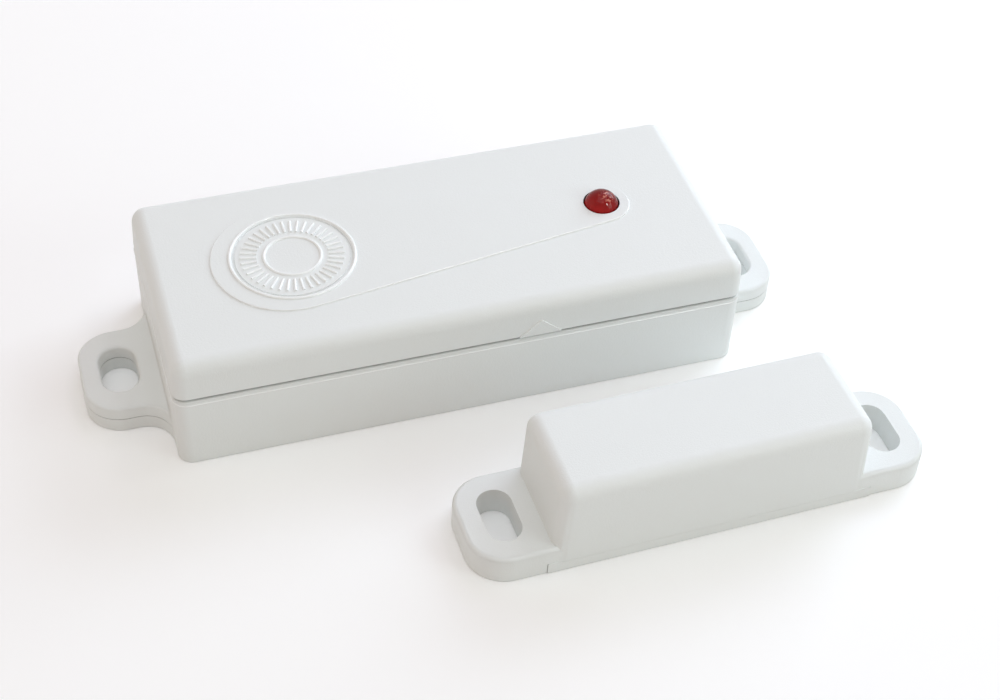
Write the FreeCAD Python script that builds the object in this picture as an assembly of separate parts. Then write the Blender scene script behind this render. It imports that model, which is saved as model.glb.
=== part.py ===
"""Magnetic door contact: a radio transmitter and the magnet unit that belongs to it.

Both units lie on their backs, as they would be screwed to a frame and a door leaf.
Millimetres. The origin is the middle of the transmitter's back face; +X runs along its
length, -Y is its front, which faces the magnet unit, and +Z leaves the wall.
"""
import FreeCAD, Part
import math
import os

V = FreeCAD.Vector
UP = V(0, 0, 1)

# Transmitter case
case_length = 80.0
case_width = 34.2
case_height = 17.7
parting_height = 11.5
parting_gap = 0.5
corner_radius = 2.0
lid_end_draft = 3.0
rim_chamfer = 0.3
wall = 2.0
lid_top = 2.0
inner_corner_radius = 1.0
floor_thickness = 2.05
plate_thickness = 2.05
plate_clearance = 0.1

# How far a fused feature runs into the wall or floor that carries it
root = 0.5

# Rim where the lid meets the tray: a skirt outside, a tongue inside
skirt = 0.9
skirt_clearance = 0.1
tongue_height = 1.5

# Slotted ears, in two layers that share one outline
ear_reach = 10.6
ear_width = 15.8
ear_offset = -0.95
ear_corner_radius = 5.0
ear_flare_radius = 4.0
ear_edge_chamfer = 0.4
seam_chamfer = 0.1
slot_width = 5.0
slot_length = 8.4
slot_from_end = 5.2

# Raised field on the lid, with a moulded disc at one end and the lamp at the other
field_height = 0.25
field_edge = 0.12
field_large_radius = 10.6
field_small_radius = 4.0
field_from_end = 19.3
field_offset = 0.35
disc_from_end = 19.9
disc_radius = 8.2
disc_groove = 0.35
disc_groove_depth = 0.2

# Alignment mark on the front of the lid, beside the magnetic switch
mark_from_end = 29.9
mark_half_width = 3.0
mark_height = 2.55
mark_relief = 0.2

# Snap hooks of the lid and their pockets in the tray
hook_from_end = 16.0
hook_width = 5.0
hook_thickness = 1.2
hook_drop = 2.6
hook_clearance = 0.1
barb_depth = 0.5
barb_height = 1.6
barb_land = 0.3
barb_room = 0.15

# Lamp
lamp_diameter = 5.0
lamp_height = 8.7
lamp_proud = 2.0
lamp_clearance = 0.1
lamp_flange = 0.4
lamp_flange_height = 1.0
lamp_from_end = 15.4
lead_pitch = 2.54
lead_size = 0.5
lead_stub = 1.2

# Board
board_thickness = 1.6
board_lift = 2.9
board_side_gap = 1.7
board_end_gap = 0.6
board_battery_gap = 0.8
board_step_gap = 2.1
boss_diameter = 5.0
rest_size = 3.0
fixing_inset = 3.2
screw_diameter = 2.2
screw_length = 4.5
screw_head_diameter = 4.0
screw_head_height = 1.5
screw_cross = 2.4
screw_cross_width = 0.5
screw_cross_depth = 0.8
screw_clearance = 0.05
peg_size = 1.8
peg_clearance = 0.1

# Battery and contacts
battery_length = 28.5
battery_cap_diameter = 4.6
battery_cap_height = 0.9
battery_floor_gap = 0.3
battery_roof_gap = 1.0
battery_side_gap = 0.25
cradle_spacing = 16.0
cradle_width = 1.2
cradle_clearance = 0.1
cradle_rise = 3.0
keeper_clearance = 0.3
keeper_drop = 2.6
contact_thickness = 0.4
contact_width = 8.0
contact_height = 9.0
contact_clearance = 0.1
contact_room = 2.2
leaf_width = 3.0
leaf_length = 4.0
tab_width = 1.5
tab_reach = 2.0
post_width = 1.4
post_inset = 0.4
post_depth = 1.0
post_height = 6.5

# Magnetic switch
reed_diameter = 2.2
reed_wall = 0.3
reed_length = 14.0
reed_lead = 0.5
reed_lead_reach = 2.6
reed_foot = 0.8
reed_foot_thickness = 0.25
reed_shoulder = 1.0
reed_seal = 0.9
reed_lift = 0.3
reed_inset = 2.1
blade_start = 2.0
blade_width = 1.0
blade_thickness = 0.2
blade_overlap = 1.2
blade_gap = 0.1

# Small parts on the board
part_gap = 0.8
part_lift = 0.1
lead_hole = 1.0
chip_length = 8.65
chip_width = 3.9
chip_height = 1.5
chip_legs = 7
leg_pitch = 1.27
leg_width = 0.4
leg_reach = 1.05
leg_thickness = 0.2
package_chamfer = 0.2
crystal_length = 11.0
crystal_width = 4.6
crystal_height = 3.5
crystal_flange = 0.45
crystal_flange_height = 0.4
resonator_diameter = 8.4
resonator_flange = 0.45
resonator_flange_height = 0.5
resonator_height = 3.4
resonator_tab = 0.7
resonator_gap = 1.5
transistor_length = 2.9
transistor_width = 1.3
transistor_height = 1.1
transistor_pitch = 0.95
transistor_reach = 0.55
aerial_strip = 0.5
aerial_width = 1.2
aerial_length = 21.0
aerial_rise = 3.8
aerial_bend = 0.8
capacitor_diameter = 5.0
capacitor_height = 5.4
capacitor_base_margin = 0.15
capacitor_base_height = 0.8
capacitor_base_chamfer = 0.8
capacitor_groove = 0.25
capacitor_groove_height = 1.7
chip_from_mark = 3.5
capacitor_from_mark = 8.0
passive_length = 2.0
passive_width = 1.25
passive_height = 0.55
passive_pitch = 3.6
passive_count = 5
switch_size = 6.0
switch_height = 3.5
switch_corner = 0.3
button_diameter = 3.4
button_rise = 0.6
push_size = 2.4
button_clearance = 0.05
switch_from_end = 8.5

# Magnet unit
hood_length = 44.7
hood_width = 15.4
hood_height = 14.5
hood_end_draft = 3.2
hood_edge_radius = 2.0
hood_wall = 1.8
hood_ear_reach = 10.05
hood_ear_width = 15.1
hood_ear_thickness = 4.2
hood_ear_radius = 5.2
hood_ear_edge = 0.6
hood_slot_width = 4.7
hood_slot_length = 8.8
hood_slot_from_end = 5.35
closing_thickness = 1.7
closing_overhang = 0.55
closing_clearance = 0.05
closing_chamfer = 0.15
spigot_height = 1.0
magnet_length = 38.0
magnet_width = 10.0
magnet_chamfer = 0.5
magnet_clearance = 0.1
magnet_roof_gap = 0.3
magnet_place_x = 24.4
magnet_place_y = -39.6
magnet_turn = 1.2

# Levels and places that follow from the sizes above
half_length = case_length / 2
half_width = case_width / 2
inner_half_length = half_length - wall
inner_half_width = half_width - wall
floor_top = plate_thickness + floor_thickness
rim_height = parting_height + parting_gap
tongue_top = parting_height + tongue_height
roof = case_height - lid_top
battery_diameter = roof - floor_top - battery_floor_gap - battery_roof_gap
ear_end = half_length + ear_reach
slot_x = ear_end - slot_from_end
board_bottom = floor_top + board_lift
board_top = board_bottom + board_thickness
board_half_length = inner_half_length - board_end_gap
board_half_width = inner_half_width - board_side_gap
hook_room = hook_clearance + hook_thickness
battery_radius = battery_diameter / 2
battery_y = inner_half_width - hook_room - battery_side_gap - battery_radius
battery_z = floor_top + battery_floor_gap + battery_radius
battery_left = -inner_half_length + contact_room
battery_right = battery_left + battery_length
step_x = battery_right + contact_thickness + board_step_gap
tongue_back = battery_y - battery_radius - board_battery_gap
lamp_x = half_length - lamp_from_end
lamp_y = field_offset
lamp_top = case_height + lamp_proud
lamp_base = lamp_top - lamp_height
mark_x = half_length - mark_from_end
reed_y = -board_half_width + reed_inset
reed_z = board_top + reed_lift + reed_diameter / 2
screw_places = [
    (-board_half_length + fixing_inset, -board_half_width + fixing_inset),
    (board_half_length - fixing_inset, board_half_width - fixing_inset),
]
rest_places = [
    (board_half_length - fixing_inset, -board_half_width + fixing_inset),
    (step_x + fixing_inset, board_half_width - fixing_inset),
]
chip_x = mark_x - chip_from_mark
chip_y = 0.0
legs_edge = chip_width / 2 + leg_reach
resistors_y = chip_y - legs_edge - part_gap - passive_width / 2
capacitors_y = chip_y + legs_edge + part_gap / 2 + passive_width / 2
row_back = capacitors_y + passive_width / 2 + part_gap
crystal_y = row_back + crystal_width / 2
resonator_x = -board_half_length + 2 * fixing_inset + resonator_diameter / 2 + resonator_gap
resonator_y = tongue_back - resonator_diameter / 2 - resonator_gap
capacitor_half = capacitor_diameter / 2 + capacitor_base_margin
capacitor_x = mark_x + capacitor_from_mark
capacitor_y = row_back + capacitor_half
switch_x = half_length - switch_from_end
switch_y = -switch_size / 2
button_top = board_top + switch_height + button_rise


def box(x0, x1, y0, y1, z0, z1):
    """Box between two corners."""
    return Part.makeBox(x1 - x0, y1 - y0, z1 - z0, V(x0, y0, z0))


def stake(x, y, z0, z1, size):
    """Upright square bar centred at x, y."""
    return box(x - size / 2, x + size / 2, y - size / 2, y + size / 2, z0, z1)


def post(x, y, z0, z1, diameter):
    """Upright cylinder."""
    return Part.makeCylinder(diameter / 2, z1 - z0, V(x, y, z0))


def upright_edges(shape):
    """Edges that run along Z."""
    found = []
    for edge in shape.Edges:
        start, end = edge.Vertexes[0].Point, edge.Vertexes[-1].Point
        if abs(start.z - end.z) > 1e-3 and math.hypot(start.x - end.x, start.y - end.y) < 1e-6:
            found.append(edge)
    return found


def edges_at(shape, level):
    """Edges that lie flat at one height."""
    boxes = [(edge, edge.BoundBox) for edge in shape.Edges]
    return [e for e, b in boxes if max(abs(b.ZMin - level), abs(b.ZMax - level)) < 1e-4]


def rounded_block(length, width, z0, z1, radius, x=0.0, y=0.0):
    """Block centred at x, y, with its upright edges rounded."""
    block = box(x - length / 2, x + length / 2, y - width / 2, y + width / 2, z0, z1)
    return block.makeFillet(radius, upright_edges(block))


def drafted_block(length, width, z0, z1, draft, radius):
    """Block whose ends lean in towards the top, with its upright and top edges rounded."""
    x, y = length / 2, width / 2
    top = x - (z1 - z0) * math.tan(math.radians(draft))
    block = extruded([V(-x, -y, z0), V(x, -y, z0), V(top, -y, z1), V(-top, -y, z1)], V(0, width, 0))
    corners = [e for e in block.Edges if e.BoundBox.ZMax - e.BoundBox.ZMin > (z1 - z0) / 2]
    return block.makeFillet(radius, corners + edges_at(block, z1))


def oval(x, y, size_x, size_y, z0, z1):
    """Upright block centred at x, y with half-round ends on its longer way."""
    width = min(size_x, size_y)
    dx, dy = (size_x - width) / 2, (size_y - width) / 2
    half_x, half_y = dx or width / 2, dy or width / 2
    ends = [post(x - dx, y - dy, z0, z1, width), post(x + dx, y + dy, z0, z1, width)]
    return fused([box(x - half_x, x + half_x, y - half_y, y + half_y, z0, z1)] + ends)


def mirrored(shape, normal):
    """Copy of a shape on the other side of the origin plane with this normal."""
    return shape.mirror(V(0, 0, 0), normal)


def fused(shapes):
    """One solid from shapes that touch or overlap."""
    whole = shapes[0].multiFuse(shapes[1:])
    return whole.removeSplitter()


def arc(a, b, c):
    """Arc edge through three points."""
    return Part.Arc(a, b, c).toShape()


def extruded(points, travel):
    """Solid from a flat outline with straight sides and the way it is pushed."""
    return Part.Face(Part.makePolygon(points + points[:1])).extrude(travel)


def ear_outline():
    """Face of the right ear at z = 0: it flares into the case wall and ends in two round corners."""
    h, r, f = ear_width / 2, ear_corner_radius, ear_flare_radius
    x0, x1, x2 = inner_half_length, half_length, ear_end
    c = math.sqrt(0.5)

    def at(x, y):
        return V(x, y + ear_offset, 0)

    edges = []
    for s in (-1, 1):
        side = [
            Part.makeLine(at(x0, s * (h + f)), at(x1, s * (h + f))),
            arc(at(x1, s * (h + f)), at(x1 + f - f * c, s * (h + f - f * c)), at(x1 + f, s * h)),
            Part.makeLine(at(x1 + f, s * h), at(x2 - r, s * h)),
            arc(at(x2 - r, s * h), at(x2 - r + r * c, s * (h - r + r * c)), at(x2, s * (h - r))),
        ]
        edges += side
    edges.append(Part.makeLine(at(x2, -(h - r)), at(x2, h - r)))
    edges.append(Part.makeLine(at(x0, -(h + f)), at(x0, h + f)))
    return Part.Face(Part.Wire(Part.__sortEdges__(edges)))


def ear_layer(z0, z1, rim_chamfers):
    """Both ears between two heights, with slots; rims at given heights are eased outside the case."""
    ear = ear_outline()
    ear.translate(V(0, 0, z0))
    ear = ear.extrude(V(0, 0, z1 - z0))
    ear = ear.cut(oval(slot_x, ear_offset, slot_width, slot_length, z0 - 1, z1 + 1))
    for level, chamfer in rim_chamfers.items():
        rims = [e for e in edges_at(ear, level) if e.BoundBox.XMin > inner_half_length + 1e-3]
        ear = ear.makeChamfer(chamfer, rims)
    return [ear, mirrored(ear, V(1, 0, 0))]


def hook(side, x):
    """Snap hook at one long wall: a root on the wall, a stem and a barb that points outwards."""
    tip = tongue_top - hook_drop - barb_height
    near, far = hook_clearance, hook_clearance + hook_thickness
    profile = [
        (near, tip),
        (far, tip),
        (far, roof + root),
        (-root, roof + root),
        (-root, tongue_top + hook_clearance),
        (near, tongue_top + hook_clearance),
        (near, tip + barb_height),
        (-barb_depth, tip + barb_height),
        (-barb_depth, tip + barb_height - barb_land),
    ]
    points = [V(x - hook_width / 2, side * (inner_half_width - d), z) for d, z in profile]
    return extruded(points, V(hook_width, 0, 0))


def hook_places():
    """Side and place of each snap hook."""
    return [(side, end * (half_length - hook_from_end)) for side in (-1, 1) for end in (-1, 1)]


def raised_field():
    """Tear-shaped field on the lid: two circles joined by their common tangents."""
    large, small = field_large_radius, field_small_radius
    x0, x1 = -half_length + field_from_end, lamp_x
    lean = math.asin((large - small) / (x1 - x0))

    def rim(x, radius, angle):
        return V(x + radius * math.cos(angle), field_offset + radius * math.sin(angle), roof)

    turn = math.pi / 2 - lean
    edges = [
        arc(rim(x0, large, turn), rim(x0, large, math.pi), rim(x0, large, -turn)),
        Part.makeLine(rim(x0, large, -turn), rim(x1, small, -turn)),
        arc(rim(x1, small, -turn), rim(x1, small, 0), rim(x1, small, turn)),
        Part.makeLine(rim(x1, small, turn), rim(x0, large, turn)),
    ]
    top = case_height + field_height
    field = Part.Face(Part.Wire(edges)).extrude(V(0, 0, top - roof))
    return field.makeChamfer(field_edge, edges_at(field, top))


def inside(clearance, z0, z1):
    """Block that fills the case between its walls, less a clearance all round."""
    length, width = 2 * (inner_half_length - clearance), 2 * (inner_half_width - clearance)
    return rounded_block(length, width, z0, z1, inner_corner_radius)


def alignment_mark():
    """Low triangle on the lid's front, its foot on the parting line."""
    y = -half_width - mark_relief
    corners = [
        V(mark_x - mark_half_width, y, rim_height),
        V(mark_x, y, rim_height + mark_height),
        V(mark_x + mark_half_width, y, rim_height),
    ]
    return extruded(corners, V(0, mark_relief + root, 0))


def battery_keepers():
    """Ribs under the lid's roof that keep the battery in its cradle."""
    keepers = []
    for x in cradle_places():
        keeper = box(x - cradle_width / 2, x + cradle_width / 2, battery_y - battery_radius,
                     battery_y + battery_radius, roof - keeper_drop, roof + root)
        keepers.append(keeper.cut(battery_space(keeper_clearance)))
    return keepers


def make_lid():
    """Top shell with everything that is moulded on it."""
    shell = drafted_block(case_length, case_width, rim_height, case_height, lid_end_draft, corner_radius)
    below = rim_height - 1
    length, width = case_length - 2 * skirt, case_width - 2 * skirt
    groove = rounded_block(length, width, below, tongue_top, inner_corner_radius)
    shell = shell.cut([groove, inside(0, below, roof)])

    added = [raised_field(), alignment_mark()]
    added.append(stake(switch_x, switch_y, button_top, roof + root, push_size))
    added += [hook(side, x) for side, x in hook_places()]
    added += battery_keepers()
    shell = fused([shell] + added)

    top = case_height + field_height
    disc_x, disc_y = -half_length + disc_from_end, field_offset
    groove = post(disc_x, disc_y, top - disc_groove_depth, top + 1, 2 * disc_radius)
    groove = groove.cut(post(disc_x, disc_y, case_height - 1, top + 1, 2 * (disc_radius - disc_groove)))
    bore = lamp_diameter + 2 * lamp_clearance
    return shell.cut([groove, post(lamp_x, lamp_y, roof - 1, top + 1, bore)])


def cradle_places():
    """The two places along the battery where it is cradled."""
    middle = (battery_left + battery_right) / 2
    return [middle - cradle_spacing / 2, middle + cradle_spacing / 2]


def battery_space(clearance):
    """Cylinder round the battery's axis that leaves this much room."""
    start = V(battery_left - contact_room, battery_y, battery_z)
    length = battery_length + 2 * contact_room
    return Part.makeCylinder(battery_radius + clearance, length, start, V(1, 0, 0))


def contact_posts(x_front, x_back):
    """Two posts that hold a contact plate upright, between two places along X."""
    posts = []
    for side in (-1, 1):
        y = battery_y + side * (contact_width / 2 - post_inset - post_width / 2)
        posts.append(box(x_front, x_back, y - post_width / 2, y + post_width / 2,
                         floor_top - root, floor_top + post_height))
    return posts


def hook_pocket(side, x):
    """Room in the tray's wall for one hook's barb."""
    tip = tongue_top - hook_drop - barb_height
    half = hook_width / 2 + hook_clearance
    depth = barb_depth + barb_room
    near, far = sorted([side * (inner_half_width - root), side * (inner_half_width + depth)])
    return box(x - half, x + half, near, far, tip - barb_land, tip + barb_height + hook_clearance)


def battery_cradles():
    """Ribs on the tray's floor that carry the battery."""
    cradles = []
    for x in cradle_places():
        cradle = box(x - cradle_width / 2, x + cradle_width / 2, battery_y - battery_radius,
                     inner_half_width + root, floor_top - root, floor_top + cradle_rise)
        cradles.append(cradle.cut(battery_space(cradle_clearance)))
    return cradles


def make_tray():
    """Lower shell with ears, tongue rim, pockets, bosses, cradle and posts."""
    outer = rounded_block(case_length, case_width, 0, parting_height, corner_radius)
    outer = outer.makeChamfer(rim_chamfer, edges_at(outer, parting_height))
    length, width = (size - 2 * (skirt + skirt_clearance) for size in (case_length, case_width))
    shell = fused([outer, rounded_block(length, width, floor_top, tongue_top, inner_corner_radius)])
    neck, beyond = ear_width / 2 + ear_flare_radius + plate_clearance, half_length + 1
    doorway = box(-beyond, beyond, ear_offset - neck, ear_offset + neck, -1, plate_thickness)
    shell = shell.cut([inside(0, floor_top, tongue_top + 1), inside(0, -1, plate_thickness), doorway])

    rims = {floor_top: ear_edge_chamfer, plate_thickness: seam_chamfer}
    added = ear_layer(plate_thickness, floor_top, rims)
    added += [post(x, y, floor_top - root, board_bottom, boss_diameter) for x, y in screw_places]
    added += [stake(x, y, floor_top - root, board_bottom, rest_size) for x, y in rest_places]
    added += battery_cradles()
    back = battery_right + contact_thickness + contact_clearance
    added += contact_posts(back, back + post_depth)
    front = -inner_half_length + 2 * contact_clearance + contact_thickness
    added += contact_posts(front, front + post_depth)
    shell = fused([shell] + added)

    cuts = [hook_pocket(side, x) for side, x in hook_places()]
    pilot = screw_diameter + 2 * screw_clearance
    cuts += [post(x, y, board_bottom - screw_length, board_bottom + 1, pilot) for x, y in screw_places]
    hole = peg_size + 2 * peg_clearance
    cuts += [stake(x, y, plate_thickness - 1, floor_top + 1, hole) for x, y in peg_places()]
    return shell.cut(cuts)


def peg_places():
    """Where the back plate's pegs go through the tray's floor."""
    return [(end * (half_length - hook_from_end), 0.0) for end in (-1, 1)]


def make_back_plate():
    """Plate in the tray's underside, with the lower layer of both ears and two pegs."""
    parts = [inside(plate_clearance, 0, plate_thickness)] + ear_layer(0, plate_thickness, {})
    neck = ear_width / 2 + ear_flare_radius
    for end in (-1, 1):
        near, far = sorted([end * (inner_half_length - 1), end * (inner_half_length + root)])
        parts.append(box(near, far, ear_offset - neck, ear_offset + neck, 0, plate_thickness))
    for x, y in peg_places():
        parts.append(stake(x, y, plate_thickness - root, floor_top, peg_size))
    return fused(parts)


def lead_places():
    """Where the lamp's two leads go through the board."""
    return [lamp_x + side * lead_pitch / 2 for side in (-1, 1)]


def make_board():
    """L-shaped board: a full part on the right, a tongue beside the battery on the left."""
    l, w = board_half_length, board_half_width
    outline = [(-l, -w), (l, -w), (l, w), (step_x, w), (step_x, tongue_back), (-l, tongue_back)]
    board = extruded([V(x, y, board_bottom) for x, y in outline], V(0, 0, board_thickness))
    low, high = board_bottom - 1, board_top + 1
    cuts = [post(x, y, low, high, screw_diameter + 4 * screw_clearance) for x, y in screw_places]
    cuts += [post(x, lamp_y, low, high, lead_hole) for x in lead_places()]
    return board.cut(cuts)


def revolved(outline, centre):
    """Solid turned about the upright line through a centre, from radius and height pairs."""
    wire = Part.makePolygon([V(centre.x + r, centre.y, centre.z + h) for r, h in outline + outline[:1]])
    return Part.Face(wire).revolve(centre, UP, 360)


def laid_down(outline, start):
    """Solid turned from radius and length pairs about a line that runs along +X from a start."""
    turned = revolved(outline, V(0, 0, 0))
    turned.rotate(V(0, 0, 0), V(0, 1, 0), 90)
    turned.translate(start)
    return turned


def make_lamp():
    """Domed lamp with its flange."""
    r = lamp_diameter / 2
    body = post(lamp_x, lamp_y, lamp_base, lamp_top - r, lamp_diameter)
    flange_top = lamp_base + lamp_flange_height
    flange = post(lamp_x, lamp_y, lamp_base, flange_top, lamp_diameter + 2 * lamp_flange)
    dome = Part.makeSphere(r, V(lamp_x, lamp_y, lamp_top - r), UP, 0, 90, 360)
    return fused([body, flange, dome])


def make_lamp_leads():
    """Two square wires from the lamp through the board."""
    h, foot = lead_size / 2, board_bottom - lead_stub
    low, high = lamp_y - h, lamp_y + h
    return Part.makeCompound([box(x - h, x + h, low, high, foot, lamp_base) for x in lead_places()])


def make_reed_glass():
    """Glass tube drawn in at both ends, where it is sealed round its wires."""
    outer, inner, wire = reed_diameter / 2, reed_diameter / 2 - reed_wall, reed_lead / 2
    length, seal = reed_length, reed_seal
    outline = [
        (wire, 0),
        (outer, reed_shoulder),
        (outer, length - reed_shoulder),
        (wire, length),
        (wire, length - seal),
        (inner, length - seal),
        (inner, seal),
        (wire, seal),
    ]
    return laid_down(outline, V(mark_x - length / 2, reed_y, reed_z))


def make_reed_leads():
    """Two wires with flat blades inside the glass, flattened and bent down to the board outside it."""
    half, r, t = reed_length / 2, reed_lead / 2, reed_foot_thickness
    reach, middle = half + reed_lead_reach, reed_z - board_top
    profile = [(reach - t, middle + r), (reach, middle + r), (reach, t), (reach + reed_foot, t)]
    profile += [(reach + reed_foot, 0), (reach - t, 0)]
    leads = []
    for side in (-1, 1):
        start = V(mark_x + side * (half - blade_start - root), reed_y, reed_z)
        wire = Part.makeCylinder(r, reed_lead_reach + blade_start + root - t / 2, start, V(side, 0, 0))
        foot = [V(mark_x + side * d, reed_y - blade_width / 2, board_top + h) for d, h in profile]
        x = sorted([mark_x - side * blade_overlap / 2, mark_x + side * (half - blade_start)])
        low = reed_z + (blade_gap / 2 if side > 0 else -blade_gap / 2 - blade_thickness)
        blade = box(x[0], x[1], reed_y - blade_width / 2, reed_y + blade_width / 2,
                    low, low + blade_thickness)
        leads.append(fused([wire, blade, extruded(foot, V(0, blade_width, 0))]))
    return Part.makeCompound(leads)


def make_battery():
    """Round battery along X, with its cap on the right."""
    radius, cap = battery_radius, battery_cap_diameter / 2
    can = battery_length - battery_cap_height
    outline = [
        (0, 0),
        (radius, 0),
        (radius, can),
        (cap, can),
        (cap, battery_length),
        (0, battery_length),
    ]
    return laid_down(outline, V(battery_left, battery_y, battery_z))


def contact_tab(x):
    """Foot of a contact that lies on the board beside the battery."""
    edge = battery_y - contact_width / 2 + post_inset / 2
    return box(x, x + tab_width, tongue_back - tab_reach, edge, board_top, board_top + contact_thickness)


def make_positive_contact():
    """Flat plate against the battery's cap, with its foot on the board."""
    x, half = battery_right, contact_width / 2
    plate = box(x, x + contact_thickness, battery_y - half, battery_y + half,
                floor_top, floor_top + contact_height)
    return fused([plate, contact_tab(x)])


def make_negative_contact():
    """Plate against the tray's end wall, folded over at the top into a sprung leaf."""
    x0, x1 = -inner_half_length + contact_clearance, battery_left
    t, half = contact_thickness, contact_width / 2
    outer = (x1 - x0) / 2
    crown = floor_top + contact_height - outer
    plate = box(x0, x0 + t, battery_y - half, battery_y + half, floor_top, crown)
    y0, y1 = battery_y - leaf_width / 2, battery_y + leaf_width / 2
    fold = Part.makeCylinder(outer, leaf_width, V(x0 + outer, y0, crown), V(0, 1, 0))
    fold = fold.cut(Part.makeCylinder(outer - t, leaf_width, V(x0 + outer, y0, crown), V(0, 1, 0)))
    fold = fold.common(box(x0, x1, y0, y1, crown, crown + outer))
    leaf = box(x1 - t, x1, y0, y1, crown - leaf_length, crown)
    return fused([plate, fold, leaf, contact_tab(x0)])


def package(length, width, height, x, y):
    """Moulded block that stands just clear of the board, with its top edges eased."""
    top = board_top + height
    block = box(x - length / 2, x + length / 2, y - width / 2, y + width / 2, board_top + part_lift, top)
    return block.makeChamfer(package_chamfer, edges_at(block, top))


def chip_leg(x, side):
    """Bent leg from the middle of the package's side down to the board and out."""
    knee, middle = leg_reach / 2, chip_height / 2
    profile = [
        (-root, middle - leg_thickness),
        (knee - leg_thickness, middle - leg_thickness),
        (knee - leg_thickness, 0),
        (leg_reach, 0),
        (leg_reach, leg_thickness),
        (knee, leg_thickness),
        (knee, middle),
        (-root, middle),
    ]
    points = [V(x - leg_width / 2, chip_y + side * (chip_width / 2 + d), board_top + h) for d, h in profile]
    return extruded(points, V(leg_width, 0, 0))


def make_chip():
    """Moulded package with a row of bent legs on each long side."""
    first = chip_x - (chip_legs - 1) / 2 * leg_pitch
    parts = [package(chip_length, chip_width, chip_height, chip_x, chip_y)]
    parts += [chip_leg(first + i * leg_pitch, side) for i in range(chip_legs) for side in (-1, 1)]
    return fused(parts)


def make_crystal():
    """Oval metal can on its flange."""
    z, rim = board_top, 2 * crystal_flange
    flange = oval(chip_x, crystal_y, crystal_length, crystal_width, z, z + crystal_flange_height)
    can = oval(chip_x, crystal_y, crystal_length - rim, crystal_width - rim, z, z + crystal_height)
    return fused([flange, can])


def make_resonator():
    """Round metal can with a flange and a small tab."""
    r, height = resonator_diameter / 2, resonator_flange_height
    flange = r + resonator_flange
    top, half = resonator_height, resonator_tab / 2
    outline = [(0, 0), (flange, 0), (flange, height), (r, height), (r, top), (0, top)]
    can = revolved(outline, V(resonator_x, resonator_y, board_top))
    tab = box(resonator_x + r, resonator_x + flange + resonator_tab, resonator_y - half, resonator_y + half,
              board_top, board_top + height)
    return fused([can, tab])


def make_transistor():
    """Small package with one leg behind and two in front."""
    middle, y = resonator_x + resonator_diameter, resonator_y
    parts = [package(transistor_length, transistor_width, transistor_height, middle, y)]
    for dx, side in ((-transistor_pitch, -1), (transistor_pitch, -1), (0, 1)):
        near, far = sorted([y, y + side * (transistor_width / 2 + transistor_reach)])
        x = middle + dx - leg_width / 2
        parts.append(box(x, x + leg_width, near, far, board_top, board_top + 2 * part_lift))
    return fused(parts)


def make_aerial():
    """Bridge of bent strip that stands on the board's tongue."""
    x0, t, high = -board_half_length + 2 * fixing_inset + aerial_strip, aerial_strip, aerial_rise
    x1 = x0 + aerial_length
    profile = [(x0, 0), (x0, high), (x1, high), (x1, 0)]
    profile += [(x1 - t, 0), (x1 - t, high - t), (x0 + t, high - t), (x0 + t, 0)]
    points = [V(x, reed_y - aerial_width / 2, board_top + h) for x, h in profile]
    bridge = extruded(points, V(0, aerial_width, 0))
    for level, radius in ((high, aerial_bend), (high - t, aerial_bend - t)):
        bends = [e for e in edges_at(bridge, board_top + level) if e.BoundBox.XLength < 1e-6]
        bridge = bridge.makeFillet(radius, bends)
    return bridge


def make_capacitor():
    """Round can, rolled in near its foot, on a square base with two cut corners."""
    half = capacitor_half
    base = box(capacitor_x - half, capacitor_x + half, capacitor_y - half, capacitor_y + half,
               board_top, board_top + capacitor_base_height)
    corners = [e for e in upright_edges(base) if e.BoundBox.XMin > capacitor_x]
    base = base.makeChamfer(capacitor_base_chamfer, corners)
    r, groove, middle = capacitor_diameter / 2, capacitor_groove, capacitor_groove_height
    outline = [
        (0, 0),
        (r, 0),
        (r, middle - groove),
        (r - groove, middle),
        (r, middle + groove),
        (r, capacitor_height),
        (0, capacitor_height),
    ]
    return fused([base, revolved(outline, V(capacitor_x, capacitor_y, board_top))])


def passives(y):
    """A row of small two-ended parts on the board, beside the chip."""
    row = []
    for i in range(passive_count):
        x = chip_x + (i - 1) * passive_pitch - passive_length / 2
        row.append(box(x, x + passive_length, y - passive_width / 2, y + passive_width / 2,
                       board_top, board_top + passive_height))
    return Part.makeCompound(row)


def make_switch():
    """Square push switch with a bore for its button."""
    half, top = switch_size / 2, board_top + switch_height
    body = box(switch_x - half, switch_x + half, switch_y - half, switch_y + half, board_top, top)
    body = body.makeChamfer(switch_corner, upright_edges(body))
    bore = button_diameter + 2 * button_clearance
    return body.cut(post(switch_x, switch_y, top - switch_height / 2, top + 1, bore))


def make_button():
    """Button of the switch, held down by the lid's post."""
    return post(switch_x, switch_y, board_top + switch_height / 2, button_top, button_diameter)


def make_screws():
    """Screws that hold the board, with a cross recess in each head."""
    screws = []
    top = board_top + screw_head_height
    long, short = screw_cross / 2, screw_cross_width / 2
    for x, y in screw_places:
        shank = post(x, y, board_top - screw_length, board_top + root, screw_diameter)
        screw = fused([shank, post(x, y, board_top, top, screw_head_diameter)])
        for a, b in ((long, short), (short, long)):
            screw = screw.cut(box(x - a, x + a, y - b, y + b, top - screw_cross_depth, top + 1))
        screws.append(screw)
    return Part.makeCompound(screws)


def place_magnet_unit(shape):
    """Puts a shape of the magnet unit where the unit lies beside the transmitter."""
    shape.rotate(V(0, 0, 0), UP, magnet_turn)
    shape.translate(V(magnet_place_x, magnet_place_y, 0))
    return shape


def magnet_block(z0, z1):
    """Block on the magnet's own outline between two heights."""
    x, y = magnet_length / 2, magnet_width / 2
    return box(-x, x, -y, y, z0, z1)


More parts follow.
